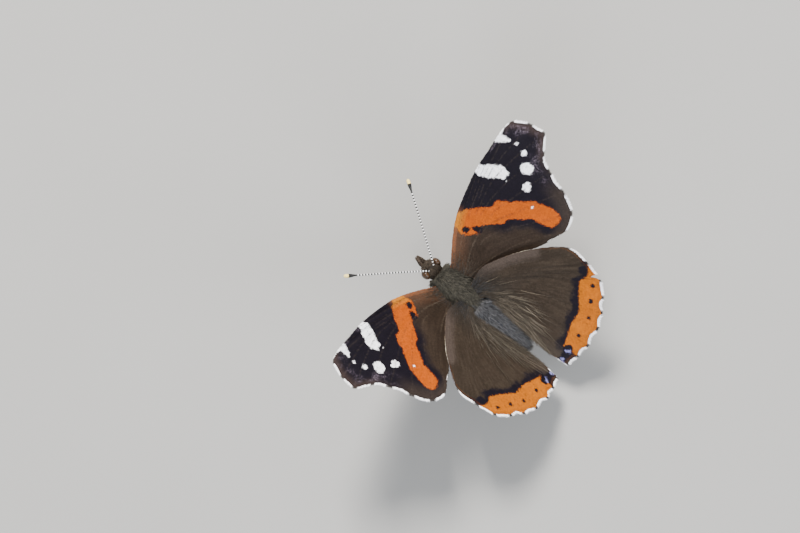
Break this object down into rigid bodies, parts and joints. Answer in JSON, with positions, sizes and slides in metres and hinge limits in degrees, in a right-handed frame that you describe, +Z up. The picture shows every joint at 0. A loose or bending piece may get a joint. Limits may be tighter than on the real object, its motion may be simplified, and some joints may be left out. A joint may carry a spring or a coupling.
{
  "type": "red admiral butterfly",
  "caption": "Still life-size red admiral butterfly standing with its scaly wings held open in a shallow V, antennae spread forward.",
  "frame": {"origin": "on the floor, under the middle of the butterfly's box", "axes": "+Z up, head towards -Y, the butterfly's left side towards +X"},
  "size_m": [0.054, 0.0407, 0.0284],
  "materials": {
    "thorax_hair": "matt, dark grey-brown hair",
    "abdomen_hair": "matt, slate-grey scales and short hair",
    "head_hair": "matt, short dark hair",
    "proboscis_horn": "satin dark horn",
    "eye_facets": "glossy brown with fine hair",
    "antenna_scales": "matt black ringed with white, pale club tip",
    "palp_hair": "matt, grey and dark scales",
    "forewing_scales": "fine matt scales, black with an orange band and white spots",
    "hindwing_scales": "fine matt scales, brown-black with an orange margin",
    "leg_scales": "matt brown scales"
  },
  "bodies": {
    "root": {"thorax": "thorax_hair", "abdomen": "abdomen_hair", "head": "head_hair", "proboscis": "proboscis_horn", "eye_left": "eye_facets", "eye_right": "eye_facets", "antenna_left": "antenna_scales", "antenna_right": "antenna_scales", "palp_left": "palp_hair", "palp_right": "palp_hair", "forewing_left": "forewing_scales", "forewing_right": "forewing_scales", "hindwing_left": "hindwing_scales", "hindwing_right": "hindwing_scales", "leg_mid_left": "leg_scales", "leg_mid_right": "leg_scales", "leg_hind_left": "leg_scales", "leg_hind_right": "leg_scales", "leg_fore_left": "leg_scales", "leg_fore_right": "leg_scales"}
  },
  "joints": []
}
